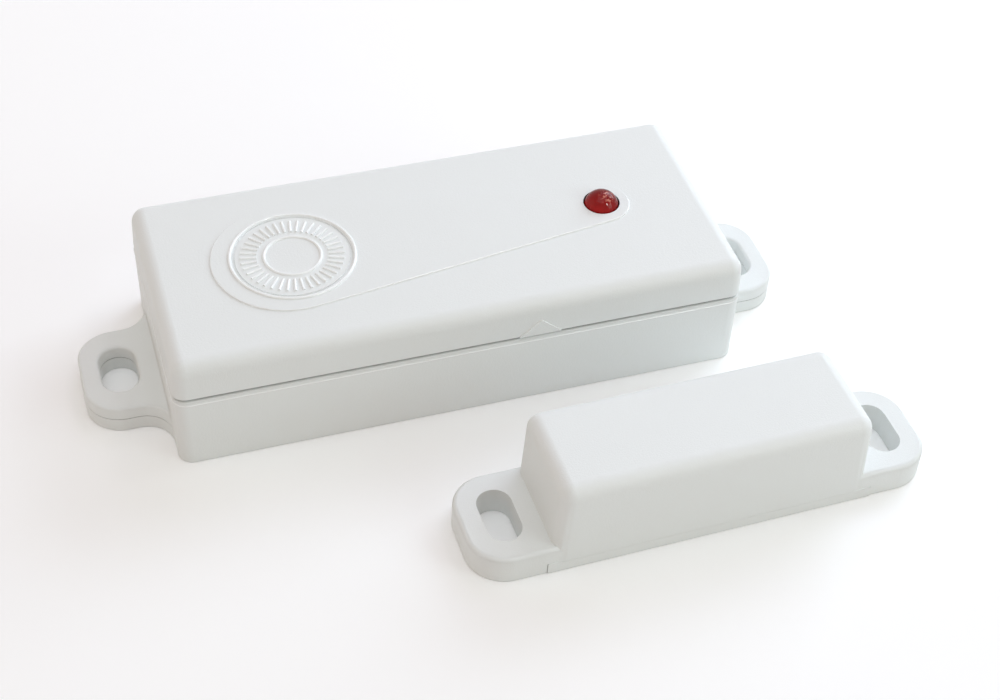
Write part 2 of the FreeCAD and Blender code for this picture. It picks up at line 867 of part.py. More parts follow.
def make_magnet_case():
    """Hood and ears in one moulding, open underneath."""
    ear_length = hood_length + 2 * hood_ear_reach
    ears = rounded_block(ear_length, hood_ear_width, 0, hood_ear_thickness, hood_ear_radius)
    ears = ears.makeChamfer(hood_ear_edge, edges_at(ears, hood_ear_thickness))
    hood = drafted_block(hood_length, hood_width, 0, hood_height, hood_end_draft, hood_edge_radius)
    case = fused([ears, hood])
    pocket = closing_half_length() + closing_clearance
    x, y = magnet_length / 2 + magnet_clearance, magnet_width / 2 + magnet_clearance
    cuts = [
        box(-pocket, pocket, -hood_width, hood_width, -1, closing_thickness),
        box(-x, x, -y, y, 0, hood_height - hood_wall),
    ]
    for end in (-1, 1):
        x = end * (ear_length / 2 - hood_slot_from_end)
        cuts.append(oval(x, 0, hood_slot_width, hood_slot_length, -1, hood_ear_thickness + 1))
    return place_magnet_unit(case.cut(cuts))


def closing_half_length():
    """Half the length of the closing plate, which runs a little past the hood."""
    return hood_length / 2 + closing_overhang


def make_magnet_plate():
    """Closing plate with a spigot that carries the magnet."""
    half = closing_half_length()
    plate = box(-half, half, -hood_width / 2, hood_width / 2, 0, closing_thickness)
    plate = plate.makeChamfer(closing_chamfer, edges_at(plate, closing_thickness))
    spigot = magnet_block(closing_thickness - root, closing_thickness + spigot_height)
    return place_magnet_unit(fused([plate, spigot]))


def make_magnet():
    """Bar magnet on the spigot, with eased edges."""
    low = closing_thickness + spigot_height
    bar = magnet_block(low, hood_height - hood_wall - magnet_roof_gap)
    return place_magnet_unit(bar.makeChamfer(magnet_chamfer, bar.Edges))


PIECES = {
    "lid": make_lid,
    "base_tray": make_tray,
    "back_plate": make_back_plate,
    "circuit_board": make_board,
    "indicator_lamp": make_lamp,
    "lamp_leads": make_lamp_leads,
    "reed_glass": make_reed_glass,
    "reed_leads": make_reed_leads,
    "battery": make_battery,
    "positive_contact": make_positive_contact,
    "negative_contact": make_negative_contact,
    "microcontroller": make_chip,
    "crystal": make_crystal,
    "radio_resonator": make_resonator,
    "radio_transistor": make_transistor,
    "aerial_loop": make_aerial,
    "reservoir_capacitor": make_capacitor,
    "chip_resistors": lambda: passives(resistors_y),
    "chip_capacitors": lambda: passives(capacitors_y),
    "tamper_switch": make_switch,
    "tamper_button": make_button,
    "board_screws": make_screws,
    "magnet_case": make_magnet_case,
    "magnet_plate": make_magnet_plate,
    "bar_magnet": make_magnet,
}

os.makedirs("parts", exist_ok=True)
for name, make in PIECES.items():
    make().exportStep(os.path.join("parts", name + ".step"))
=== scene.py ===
"""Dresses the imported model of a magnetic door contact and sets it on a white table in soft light.

Laid out as an add-on and run as a script. Lengths are metres in the model's own frame: X along
the transmitter, -Y towards the magnet unit, Z out of the wall.
"""
import math

import bmesh
import bpy
from bpy.props import FloatProperty, FloatVectorProperty, IntProperty, PointerProperty
from mathutils import Matrix, Vector


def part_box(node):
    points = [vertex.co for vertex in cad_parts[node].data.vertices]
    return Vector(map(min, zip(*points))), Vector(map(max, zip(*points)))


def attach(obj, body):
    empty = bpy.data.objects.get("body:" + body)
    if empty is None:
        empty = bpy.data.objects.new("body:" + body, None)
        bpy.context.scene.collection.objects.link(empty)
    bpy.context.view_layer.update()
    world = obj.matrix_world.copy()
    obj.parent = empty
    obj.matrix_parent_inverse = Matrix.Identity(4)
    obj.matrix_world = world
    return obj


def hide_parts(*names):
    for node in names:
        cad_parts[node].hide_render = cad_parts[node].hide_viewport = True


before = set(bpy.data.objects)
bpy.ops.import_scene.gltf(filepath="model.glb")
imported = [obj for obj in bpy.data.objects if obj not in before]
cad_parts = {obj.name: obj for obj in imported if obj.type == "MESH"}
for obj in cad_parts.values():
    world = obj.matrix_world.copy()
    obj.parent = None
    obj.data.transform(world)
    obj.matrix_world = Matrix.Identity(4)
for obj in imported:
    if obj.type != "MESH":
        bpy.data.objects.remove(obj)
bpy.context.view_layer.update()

bl_info = {
    "name": "Magnetic door contact",
    "version": (1, 0, 0),
    "blender": (4, 5, 0),
    "location": "3D View > Sidebar > Door Contact",
    "description": "Finishes, moulded relief and studio for a door contact and its magnet unit",
    "category": "Object",
}

MM = 0.001

# Corners of a node's loose triangles that lie closer than this are one.
MERGE_DISTANCE = 0.002 * MM
# Triangles that meet at less than the first angle are one flat face, at more than the second a sharp edge.
FLAT_ANGLE = math.radians(0.4)
SHARP_ANGLE = math.radians(50)

# A Mix node has several sockets of the same name, so its colour sockets are reached by number.
SHARE = 0
FIRST = 6
SECOND = 7
MIXED = 2


def linear(code):
    """Linear colour of an sRGB hex code."""
    parts = [int(code[i:i + 2], 16) / 255 for i in (1, 3, 5)]
    return tuple(p / 12.92 if p <= 0.04045 else ((p + 0.055) / 1.055) ** 2.4 for p in parts)


def length(name, description, millimetres):
    """Length property with its default in millimetres."""
    return FloatProperty(name=name, description=description, default=millimetres * MM, min=0.0,
                         precision=5, subtype="DISTANCE", unit="LENGTH")


def colour(name, description, code):
    """Colour property with its default as an sRGB hex code."""
    return FloatVectorProperty(name=name, description=description, default=linear(code), min=0.0, max=1.0,
                               size=3, subtype="COLOR")


class ContactSizes(bpy.types.PropertyGroup):
    """Sizes of the moulded relief, of the lamp and of the surface patterns."""

    rim_radius: length("Rim radius", "Radius of the raised rim round the disc", 8.55)
    disc_from_end: length("Disc from end", "From the case's left end to the middle of the disc", 19.9)
    disc_offset: length("Disc offset", "How far the disc lies behind the middle of the case", 0.35)
    rib_count: IntProperty(name="Ribs", description="Radial ribs on the disc", default=40, min=3, max=90)
    rib_inner: length("Rib inner end", "Radius where a rib begins", 4.9)
    rib_outer: length("Rib outer end", "Radius where a rib ends", 7.1)
    rib_width: length("Rib width", "Width of one rib at its foot", 0.4)
    bead_width: length("Bead width", "Width of the ring and the rim at their foot", 0.5)
    rib_height: length("Rib height", "How far a rib stands up", 0.25)
    ring_radius: length("Ring radius", "Radius of the raised ring inside the ribs", 3.9)
    field_rise: length("Field rise", "How far the field and its disc stand above the lid", 0.25)
    mark_rise: length("Mark rise", "How far the alignment mark stands out of the lid's front", 0.2)
    line_drop: length("Line drop", "How far the fine line lies below the top of the tray's tongue", 2.2)
    line_width: length("Line width", "Thickness of the fine line, of which a third stands proud", 0.24)
    corner: length("Case corner", "Radius of the case's upright corners", 2.0)
    dome: length("Dome", "Radius of the lamp's dome", 2.47)
    grain: length("Plastic grain", "Pitch of the spark-eroded grain", 0.22)
    weave: length("Glass weave", "Pitch of the threads in the circuit board", 0.5)


class ContactColours(bpy.types.PropertyGroup):
    """Colours of the materials that a user would change."""

    abs_white: colour("White ABS", "Case, ears and magnet unit", "#EAEDEC")
    # Whiter than the case white, as a painted highlight on the relief.
    abs_polished_painted_highlight: colour("Polished ABS", "Raised relief, where the mould was polished", "#F8FAFA")
    lamp_red: colour("Lamp red", "Tinted resin of the lamp", "#9C100E")
    mask_green: colour("Solder mask", "Coating of the circuit board", "#1E5A38")
    sleeve: colour("Battery sleeve", "Shrunk film round the battery", "#2B2F38")
    floor: colour("Table", "Table under the units", "#F4F4F3")


def rgba(code_or_colour):
    """Four-part colour from a hex code or a linear colour."""
    found = linear(code_or_colour) if isinstance(code_or_colour, str) else tuple(code_or_colour)
    return (*found[:3], 1.0)


def shade(code_or_colour, factor):
    """The same colour, lighter or darker."""
    return tuple(min(1.0, part * factor) for part in rgba(code_or_colour)[:3])


def fill(tree, node, inputs):
    """Sets each of these inputs of a node to a value, or links it to a socket."""
    for key, value in inputs.items():
        if isinstance(value, bpy.types.NodeSocket):
            tree.links.new(value, node.inputs[key])
        else:
            node.inputs[key].default_value = value


def add(tree, kind, inputs=None, **settings):
    """Adds a node with its settings and its inputs."""
    made = tree.nodes.new(kind)
    for name, value in settings.items():
        setattr(made, name, value)
    fill(tree, made, inputs or {})
    return made


def new_material(name):
    """Empty material with a shader on its output, and the place on the piece for patterns."""
    material = bpy.data.materials.new(name)
    material.use_nodes = True
    tree = material.node_tree
    tree.nodes.clear()
    shader = add(tree, "ShaderNodeBsdfPrincipled")
    add(tree, "ShaderNodeOutputMaterial", {"Surface": shader.outputs["BSDF"]})
    place = add(tree, "ShaderNodeTexCoord").outputs["Object"]
    return material, tree, shader, place


def mottle(tree, place, pitch, low, high):
    """Colour that wanders between two others in patches of this pitch."""
    patches = add(tree, "ShaderNodeTexNoise", {"Vector": place, "Scale": 1 / pitch, "Detail": 2.0})
    colours = {SHARE: patches.outputs["Fac"], FIRST: rgba(low), SECOND: rgba(high)}
    return add(tree, "ShaderNodeMix", colours, data_type="RGBA").outputs[MIXED]


def crevice_shade(tree, tone, reach, shade_share):
    """The tone with painted shade, darkened by this share where surfaces face each other closer than the
    reach.
    """
    near = add(tree, "ShaderNodeAmbientOcclusion", {"Distance": reach}, samples=8)
    limits = {"Value": near.outputs["AO"], "From Min": 0.1, "From Max": 0.45,
              "To Min": 1.0 - shade_share, "To Max": 1.0}
    open_part = add(tree, "ShaderNodeMapRange", limits).outputs[0]
    # Painted shade: the tone runs towards this near black in joints, slots and grooves.
    colours = {SHARE: open_part, FIRST: rgba("#2A2A29"), SECOND: tone}
    return add(tree, "ShaderNodeMix", colours, data_type="RGBA").outputs[MIXED]


def spark_eroded_abs(sizes, colours, name, shade_share):
    """White ABS from a spark-eroded mould: dull, with a fine even grain that breaks up every highlight.

    The real grain is some hundredths of a millimetre wide and is drawn coarser, so that it shows.
    """
    material, tree, shader, place = new_material(name)
    white = colours.abs_white
    tone = mottle(tree, place, pitch=9 * MM, low=shade(white, 0.985), high=white)
    pattern = {"Vector": place, "Scale": 1 / sizes.grain, "Detail": 3.0, "Roughness": 0.6}
    grain = add(tree, "ShaderNodeTexNoise", pattern).outputs["Fac"]
    bump = add(tree, "ShaderNodeBump", {"Height": grain, "Distance": 0.04 * MM, "Strength": 0.7})
    # The base colour carries painted shade in joints, slots and grooves.
    fill(tree, shader, {"Base Color": crevice_shade(tree, tone, reach=0.8 * MM, shade_share=shade_share), "Roughness": 0.55,
                        "IOR": 1.54, "Normal": bump.outputs["Normal"]})
    return material


def polished_abs(colours):
    """White ABS where the mould was polished, on the raised relief: smoother, and whiter than the case as a
    painted highlight.
    """
    material, tree, shader, place = new_material("polish_moulded_abs")
    flow_mark = 0.6 * MM
    white = colours.abs_polished_painted_highlight
    tone = mottle(tree, place, pitch=9 * MM, low=shade(white, 0.985), high=white)
    pattern = {"Vector": place, "Scale": 1 / flow_mark, "Detail": 1.0}
    flow = add(tree, "ShaderNodeTexNoise", pattern).outputs["Fac"]
    bump = add(tree, "ShaderNodeBump", {"Height": flow, "Distance": 0.02 * MM, "Strength": 0.3})
    fill(tree, shader, {"Base Color": tone, "Roughness": 0.22, "IOR": 1.54, "Normal": bump.outputs["Normal"]})
    return material


def tinted_resin(sizes, colours):
    """Red-tinted epoxy of a cast lamp: glossy and dark, with painted glints of its reflector cup.

    Painted light: it is brighter on the side away from the window, where the dome gathers the window's light.
    """
    material, tree, shader, place = new_material("cast_tinted_epoxy")
    low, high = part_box("indicator_lamp")
    middle_x = (low.x + high.x) / 2
    middle_y = (low.y + high.y) / 2
    dome = sizes.dome
    red = colours.lamp_red

    # Painted light: the red runs from dark to bright across the dome.
    far_side = Vector((-0.62, -0.62, -0.48))
    middle = Vector((middle_x, middle_y, high.z - dome)).dot(far_side)
    depth = add(tree, "ShaderNodeVectorMath", {0: place, 1: far_side},
                operation="DOT_PRODUCT").outputs["Value"]
    limits = {"Value": depth, "From Min": middle - dome, "From Max": middle + dome}
    gathered_light_share = add(tree, "ShaderNodeMapRange", limits).outputs[0]
    reds = {SHARE: gathered_light_share, FIRST: rgba(shade(red, 0.45)), SECOND: rgba(shade(red, 1.6))}
    painted_light_red = add(tree, "ShaderNodeMix", reds, data_type="RGBA").outputs[MIXED]
    clouds = mottle(tree, place, pitch=0.8 * MM, low="#C8C8C8", high="#FFFFFF")
    layers = {SHARE: 1.0, FIRST: painted_light_red, SECOND: clouds}
    tone = add(tree, "ShaderNodeMix", layers, data_type="RGBA", blend_type="MULTIPLY").outputs[MIXED]

    # Painted glints: specks of light that the cup throws back, all near one point under the dome.
    cup = Vector((middle_x + 0.3 * dome, middle_y - 0.25 * dome, high.z - 0.1 * dome))
    cup_edge = 1.6 * MM
    cup_floor = 0.6 * MM
    speck = 0.38 * MM
    away = add(tree, "ShaderNodeVectorMath", {0: place, 1: cup}, operation="DISTANCE").outputs["Value"]
    limits = {"Value": away, "From Min": cup_edge, "From Max": cup_floor}
    inside = add(tree, "ShaderNodeMapRange", limits).outputs[0]
    pattern = {"Vector": place, "Scale": 1 / speck, "Detail": 1.0}
    specks = add(tree, "ShaderNodeTexNoise", pattern).outputs["Fac"]
    bright = add(tree, "ShaderNodeMapRange", {"Value": specks, "From Min": 0.55, "From Max": 0.68}).outputs[0]
    glint = add(tree, "ShaderNodeMath", {0: inside, 1: bright}, operation="MULTIPLY").outputs[0]
    layers = {SHARE: glint, FIRST: tone, SECOND: rgba("#CF8070")}
    painted_glints_on_tone = add(tree, "ShaderNodeMix", layers, data_type="RGBA").outputs[MIXED]

    swirl_width = 1.5 * MM
    pattern = {"Vector": place, "Scale": 1 / swirl_width, "Detail": 1.0}
    swirl = add(tree, "ShaderNodeTexNoise", pattern).outputs["Fac"]
    bump = add(tree, "ShaderNodeBump", {"Height": swirl, "Distance": 0.05 * MM, "Strength": 0.3})
    fill(tree, shader, {"Base Color": painted_glints_on_tone, "Roughness": 0.08, "IOR": 1.5, "Specular IOR Level": 0.16,
                        "Normal": bump.outputs["Normal"]})
    return material


def solder_masked_laminate(sizes, colours):
    """Woven glass and epoxy under green solder mask, through which threads and copper tracks show."""
    material, tree, shader, place = new_material("solder_masked_glass_laminate")
    green = colours.mask_green
    nest = 11 * MM
    track_pitch = 1.21 * MM
    track_width = 0.352 * MM
    bare_patch = 7 * MM

    # Tracks run as nested squares, and stop where the board is bare.
    squares = add(tree, "ShaderNodeTexVoronoi", {"Vector": place, "Scale": 1 / nest},
                  voronoi_dimensions="2D", distance="CHEBYCHEV").outputs["Distance"]
    half_pitch = track_pitch / nest / 2
    half_width = track_width / nest / 2
    across = add(tree, "ShaderNodeMath", {0: squares, 1: half_pitch}, operation="PINGPONG").outputs[0]
    line = add(tree, "ShaderNodeMath", {0: across, 1: half_width}, operation="LESS_THAN").outputs[0]
    pattern = {"Vector": place, "Scale": 1 / bare_patch, "Detail": 0.0}
    spread = add(tree, "ShaderNodeTexNoise", pattern).outputs["Fac"]
    laid = add(tree, "ShaderNodeMath", {0: spread, 1: 0.47}, operation="GREATER_THAN").outputs[0]
    track = add(tree, "ShaderNodeMath", {0: line, 1: laid}, operation="MULTIPLY").outputs[0]
    greens = {SHARE: track, FIRST: rgba(green), SECOND: rgba(shade(green, 1.8))}
    tone = add(tree, "ShaderNodeMix", greens, data_type="RGBA").outputs[MIXED]

    weave = add(tree, "ShaderNodeTexChecker", {"Vector": place, "Scale": 1 / sizes.weave}).outputs["Fac"]
    bump = add(tree, "ShaderNodeBump", {"Height": weave, "Distance": 0.02 * MM, "Strength": 0.3})
    fill(tree, shader, {"Base Color": tone, "Roughness": 0.35, "IOR": 1.5, "Coat Weight": 0.3,
                        "Coat Roughness": 0.15, "Normal": bump.outputs["Normal"]})
    return material


def drawn_metal(name, code, roughness, pitch, stretch, coat=0.0):
    """Metal whose fine lines run one way, as drawing, rolling or turning leaves them.

    They run along the axis with the smallest stretch, and an even stretch gives an even grain. The
    real lines are hundredths of a millimetre apart and are drawn coarser, so that they show.
    """
    material, tree, shader, place = new_material(name)
    tone = mottle(tree, place, pitch=3 * MM, low=shade(code, 0.88), high=code)
    stretched = add(tree, "ShaderNodeMapping", {"Vector": place, "Scale": stretch}).outputs["Vector"]
    pattern = {"Vector": stretched, "Scale": 1 / pitch, "Detail": 2.0}
    lines = add(tree, "ShaderNodeTexNoise", pattern).outputs["Fac"]
    bump = add(tree, "ShaderNodeBump", {"Height": lines, "Distance": 0.01 * MM, "Strength": 0.4})
    fill(tree, shader, {"Base Color": tone, "Metallic": 1.0, "Roughness": roughness, "Coat Weight": coat,
                        "Normal": bump.outputs["Normal"]})
    return material


def drawn_glass():
    """Clear glass tube with a faint green cast that comes and goes along it."""
    material, tree, shader, place = new_material("drawn_glass_tube")
    tone = mottle(tree, place, pitch=4 * MM, low="#E3F2EA", high="#F2F8F4")
    fill(tree, shader, {"Base Color": tone, "Roughness": 0.02, "IOR": 1.5, "Transmission Weight": 1.0})
    return material


def moulded(name, code, roughness, grain, depth):
    """Dull moulded or pressed body with an even grain, drawn coarser than the real one so that it shows."""
    material, tree, shader, place = new_material(name)
    tone = mottle(tree, place, pitch=2 * MM, low=shade(code, 0.85), high=shade(code, 1.1))
    pattern = {"Vector": place, "Scale": 1 / grain, "Detail": 3.0}
    grains = add(tree, "ShaderNodeTexNoise", pattern).outputs["Fac"]
    bump = add(tree, "ShaderNodeBump", {"Height": grains, "Distance": depth, "Strength": 0.5})
    fill(tree, shader, {"Base Color": tone, "Roughness": roughness, "IOR": 1.55,
                        "Normal": bump.outputs["Normal"]})
    return material


def sleeved_battery(colours):
    """Steel can in a dark shrunk film, which stops short of the bare cap and the bare foot."""
    material, tree, shader, place = new_material("shrink_sleeved_steel")
    low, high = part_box("battery")
    foot = 0.7 * MM
    cap = 1.5 * MM
    wrinkle = 2 * MM
    along = add(tree, "ShaderNodeSeparateXYZ", {0: place}).outputs["X"]
    past_foot = add(tree, "ShaderNodeMath", {0: along, 1: low.x + foot}, operation="GREATER_THAN").outputs[0]
    before_cap = add(tree, "ShaderNodeMath", {0: along, 1: high.x - cap}, operation="LESS_THAN").outputs[0]
    film = add(tree, "ShaderNodeMath", {0: past_foot, 1: before_cap}, operation="MULTIPLY").outputs[0]
    bare = add(tree, "ShaderNodeMath", {0: 1.0, 1: film}, operation="SUBTRACT").outputs[0]
    layers = {SHARE: film, FIRST: rgba("#B9BCBD"), SECOND: rgba(colours.sleeve)}
    tone = add(tree, "ShaderNodeMix", layers, data_type="RGBA").outputs[MIXED]
    pattern = {"Vector": place, "Scale": 1 / wrinkle, "Detail": 1.0}
    wrinkles = add(tree, "ShaderNodeTexNoise", pattern).outputs["Fac"]
    bump = add(tree, "ShaderNodeBump", {"Height": wrinkles, "Distance": 0.05 * MM, "Strength": 0.3})
    fill(tree, shader, {"Base Color": tone, "Metallic": bare, "Roughness": 0.3, "IOR": 1.5,
                        "Normal": bump.outputs["Normal"]})
    return material


def two_ended(name, code, node, count):
    """Small ceramic blocks with tinned ends; the row's box gives where each block begins and ends."""
    material, tree, shader, place = new_material(name)
    low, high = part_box(node)
    block = 2.0 * MM
    bare_half = 0.3 * block
    pitch = (high.x - low.x - block) / (count - 1)
    along = add(tree, "ShaderNodeSeparateXYZ", {0: place}).outputs["X"]
    first_block = low.x + block / 2
    local = add(tree, "ShaderNodeMath", {0: along, 1: first_block}, operation="SUBTRACT").outputs[0]
    one_block = {0: local, 1: pitch / 2, 2: -pitch / 2}
    wrapped = add(tree, "ShaderNodeMath", one_block, operation="WRAP").outputs[0]
    away = add(tree, "ShaderNodeMath", {0: wrapped}, operation="ABSOLUTE").outputs[0]
    tinned = add(tree, "ShaderNodeMath", {0: away, 1: bare_half}, operation="GREATER_THAN").outputs[0]
    body = mottle(tree, place, pitch=0.4 * MM, low=shade(code, 0.85), high=code)
    layers = {SHARE: tinned, FIRST: body, SECOND: rgba("#C6C8C9")}
    tone = add(tree, "ShaderNodeMix", layers, data_type="RGBA").outputs[MIXED]
    fill(tree, shader, {"Base Color": tone, "Metallic": tinned, "Roughness": 0.4, "IOR": 1.55})
    return material


def dressed(name, material):
    """Copy of a node that stands for it, with its triangles merged.

    Its normals are weighted by area, so that small chamfers shade as rounded edges.
    """
    mesh = bmesh.new()
    mesh.from_mesh(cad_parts[name].data)
    bmesh.ops.remove_doubles(mesh, verts=mesh.verts, dist=MERGE_DISTANCE)
    bmesh.ops.dissolve_limit(mesh, angle_limit=FLAT_ANGLE, verts=mesh.verts, edges=mesh.edges)
    for face in mesh.faces:
        face.smooth = True
        face.material_index = 0
    for edge in mesh.edges:
        edge.smooth = len(edge.link_faces) == 2 and edge.calc_face_angle(0.0) < SHARP_ANGLE
    data = bpy.data.meshes.new(name + "_dressed")
    mesh.to_mesh(data)
    mesh.free()
    for attribute in ("custom_normal", "sharp_face"):
        if attribute in data.attributes:
            data.attributes.remove(data.attributes[attribute])
    piece = bpy.data.objects.new(name + "_dressed", data)
    bpy.context.scene.collection.objects.link(piece)
    data.materials.append(material)
    weighted = piece.modifiers.new("Weighted normals", "WEIGHTED_NORMAL")
    weighted.keep_sharp = True
    weighted.mode = "FACE_AREA"
    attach(piece, "root")
    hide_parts(name)
    return piece


def finish_node(name, material):
    """Gives a node of the model its material."""
    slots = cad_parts[name].material_slots
    if not slots:
        raise RuntimeError("the node has no material slot: " + name)
    for slot in slots:
        slot.material = material


def begin_tree(name, lengths, counts=()):
    """Empty geometry tree with named inputs, and the sockets that give their values."""
    tree = bpy.data.node_groups.new(name, "GeometryNodeTree")
    tree.interface.new_socket("Geometry", in_out="OUTPUT", socket_type="NodeSocketGeometry")
    for key in lengths:
        tree.interface.new_socket(key, in_out="INPUT", socket_type="NodeSocketFloat")
    for key in counts:
        tree.interface.new_socket(key, in_out="INPUT", socket_type="NodeSocketInt")
    return tree, add(tree, "NodeGroupInput").outputs


def end_tree(tree, shape, material):
    """Ends a geometry tree with real, smooth geometry in its material."""
    real = add(tree, "GeometryNodeRealizeInstances", {"Geometry": shape}).outputs[0]
    smooth = add(tree, "GeometryNodeSetShadeSmooth", {"Geometry": real}).outputs[0]
    finished = add(tree, "GeometryNodeSetMaterial", {"Geometry": smooth, "Material": material}).outputs[0]
    add(tree, "NodeGroupOutput", {"Geometry": finished})
    return tree


def relief_tree(material):
    """Geometry tree: radial ribs and two rings round an upright axis."""
    lengths = ("Rib inner", "Rib outer", "Rib width", "Rib height", "Bead width", "Ring radius", "Rim radius")
    tree, sizes = begin_tree("Disc relief", lengths, counts=("Ribs",))

    half = add(tree, "ShaderNodeMath", {0: sizes["Rib width"], 1: 0.5}, operation="MULTIPLY").outputs[0]
    sunk = add(tree, "ShaderNodeMath", {0: sizes["Rib height"], 1: half}, operation="SUBTRACT").outputs[0]
    start = add(tree, "ShaderNodeCombineXYZ", {"X": sizes["Rib inner"], "Z": sunk}).outputs[0]
    end = add(tree, "ShaderNodeCombineXYZ", {"X": sizes["Rib outer"], "Z": sunk}).outputs[0]
    line = add(tree, "GeometryNodeCurvePrimitiveLine", {"Start": start, "End": end}).outputs[0]
    round_rod = add(tree, "GeometryNodeCurvePrimitiveCircle", {"Resolution": 12, "Radius": half}).outputs[0]
    sweep = {"Curve": line, "Profile Curve": round_rod, "Fill Caps": True}
    rib = add(tree, "GeometryNodeCurveToMesh", sweep).outputs[0]

    points = add(tree, "GeometryNodePoints", {"Count": sizes["Ribs"]}).outputs[0]
    index = add(tree, "GeometryNodeInputIndex").outputs[0]
    step = add(tree, "ShaderNodeMath", {0: math.tau, 1: sizes["Ribs"]}, operation="DIVIDE").outputs[0]
    angle = add(tree, "ShaderNodeMath", {0: index, 1: step}, operation="MULTIPLY").outputs[0]
    turn = add(tree, "ShaderNodeCombineXYZ", {"Z": angle}).outputs[0]
    turned = add(tree, "FunctionNodeEulerToRotation", {0: turn}).outputs[0]
    copies = {"Points": points, "Instance": rib, "Rotation": turned}
    ribs = add(tree, "GeometryNodeInstanceOnPoints", copies).outputs[0]

    join = add(tree, "GeometryNodeJoinGeometry", {0: ribs})
    thick = add(tree, "ShaderNodeMath", {0: sizes["Bead width"], 1: 0.5}, operation="MULTIPLY").outputs[0]
    bead = add(tree, "GeometryNodeCurvePrimitiveCircle", {"Resolution": 12, "Radius": thick}).outputs[0]
    low = add(tree, "ShaderNodeMath", {0: sizes["Rib height"], 1: thick}, operation="SUBTRACT").outputs[0]
    lift = add(tree, "ShaderNodeCombineXYZ", {"Z": low}).outputs[0]
    for name in ("Ring radius", "Rim radius"):
        path = {"Resolution": 96, "Radius": sizes[name]}
        circle = add(tree, "GeometryNodeCurvePrimitiveCircle", path).outputs[0]
        ring = add(tree, "GeometryNodeCurveToMesh", {"Curve": circle, "Profile Curve": bead}).outputs[0]
        raised = add(tree, "GeometryNodeTransform", {"Geometry": ring, "Translation": lift}).outputs[0]
        tree.links.new(raised, join.inputs[0])
    return end_tree(tree, join.outputs[0], material)


def outline_tree(material):
    """Geometry tree: a round bead that follows a rectangle with round corners."""
    tree, sizes = begin_tree("Outline bead", ("Length", "Width", "Corner", "Thickness"))
    sides = {"Width": sizes["Length"], "Height": sizes["Width"]}
    box = add(tree, "GeometryNodeCurvePrimitiveQuadrilateral", sides).outputs[0]
    bends = {"Curve": box, "Radius": sizes["Corner"], "Count": 8}
    path = add(tree, "GeometryNodeFilletCurve", bends, mode="POLY").outputs[0]
    half = add(tree, "ShaderNodeMath", {0: sizes["Thickness"], 1: 0.5}, operation="MULTIPLY").outputs[0]
    round_rod = add(tree, "GeometryNodeCurvePrimitiveCircle", {"Resolution": 12, "Radius": half}).outputs[0]
    bead = add(tree, "GeometryNodeCurveToMesh", {"Curve": path, "Profile Curve": round_rod}).outputs[0]
    return end_tree(tree, bead, material)


def run_tree(tree, values, name, material, place):
    """Runs a geometry tree with these inputs; its plain mesh becomes a piece that rides on the model."""
    source = bpy.data.objects.new(name + "_source", bpy.data.meshes.new(name + "_source"))
    bpy.context.scene.collection.objects.link(source)
    modifier = source.modifiers.new("Tree", "NODES")
    modifier.node_group = tree
    for item in tree.interface.items_tree:
        if item.in_out == "INPUT":
            modifier[item.identifier] = values[item.name]
    bpy.context.view_layer.update()
    evaluated = source.evaluated_get(bpy.context.evaluated_depsgraph_get())
    data = bpy.data.meshes.new_from_object(evaluated)
    bpy.data.objects.remove(source)
    if not data.polygons:
        raise RuntimeError("no faces were made for " + name)
    data.name = name
    data.materials.clear()
    data.materials.append(material)
    data.transform(Matrix.Translation(place))
    piece = bpy.data.objects.new(name, data)
    bpy.context.scene.collection.objects.link(piece)
    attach(piece, "root")


class ContactShells(bpy.types.Operator):
    """Give the transmitter's lid, tray and back plate their white plastic"""

    bl_idname = "contact.shells"
    bl_label = "Transmitter shells"

    def execute(self, context):
        sizes = context.scene.contact_sizes
        colours = context.scene.contact_colours
        # The transmitter's joints, slots and grooves get strong painted shade.
        white = spark_eroded_abs(sizes, colours, "spark_eroded_abs", shade_share=0.85)
        lid = dressed("lid", white)
        for name in ("base_tray", "back_plate"):
            dressed(name, white)

        # The mould was polished at the edges of the field and its disc, and at the edges of the mark; the
        # polished white there is a painted highlight.
        lid.data.materials.append(polished_abs(colours))
        low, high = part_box("lid")
        field_foot = high.z - sizes.field_rise
        mark_foot = low.y + sizes.mark_rise
        level = 0.99
        facing_front = -0.9
        for face in lid.data.polygons:
            edge_of_field = face.center.z > field_foot and face.normal.z < level
            edge_of_mark = face.center.y < mark_foot and face.normal.y > facing_front
            if edge_of_field or edge_of_mark:
                face.material_index = 1
        return {"FINISHED"}


class ContactRelief(bpy.types.Operator):
    """Add the ribs, the ring and the rim that are moulded on the disc"""

    bl_idname = "contact.relief"
    bl_label = "Disc relief"

    def execute(self, context):
        sizes = context.scene.contact_sizes
        # The relief's polished white is whiter than the case: a painted highlight.
        white = bpy.data.materials["polish_moulded_abs"]
        low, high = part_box("lid")
        values = {"Rib inner": sizes.rib_inner, "Rib outer": sizes.rib_outer, "Rib width": sizes.rib_width,
                  "Rib height": sizes.rib_height, "Bead width": sizes.bead_width,
                  "Ring radius": sizes.ring_radius, "Rim radius": sizes.rim_radius, "Ribs": sizes.rib_count}
        place = Vector((low.x + sizes.disc_from_end, sizes.disc_offset, high.z))
        run_tree(relief_tree(white), values, "disc_relief", white, place)
        return {"FINISHED"}


class ContactLine(bpy.types.Operator):
    """Add the fine raised line that runs round the tray below its rim"""

    bl_idname = "contact.line"
    bl_label = "Line below the rim"

    def execute(self, context):
        sizes = context.scene.contact_sizes
        # The bead's polished white is whiter than the case: a painted highlight.
        white = bpy.data.materials["polish_moulded_abs"]
        lid_low, lid_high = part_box("lid")
        tray_low, tray_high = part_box("base_tray")
        # The bead's middle lies this far inside the wall, so that a third of its thickness stands proud.
        sunk = sizes.line_width / 6
        values = {"Length": lid_high.x - lid_low.x - 2 * sunk, "Width": tray_high.y - tray_low.y - 2 * sunk,
                  "Corner": sizes.corner - sunk, "Thickness": sizes.line_width}
        place = Vector((0, 0, tray_high.z - sizes.line_drop))
        run_tree(outline_tree(white), values, "rim_line", white, place)
        return {"FINISHED"}


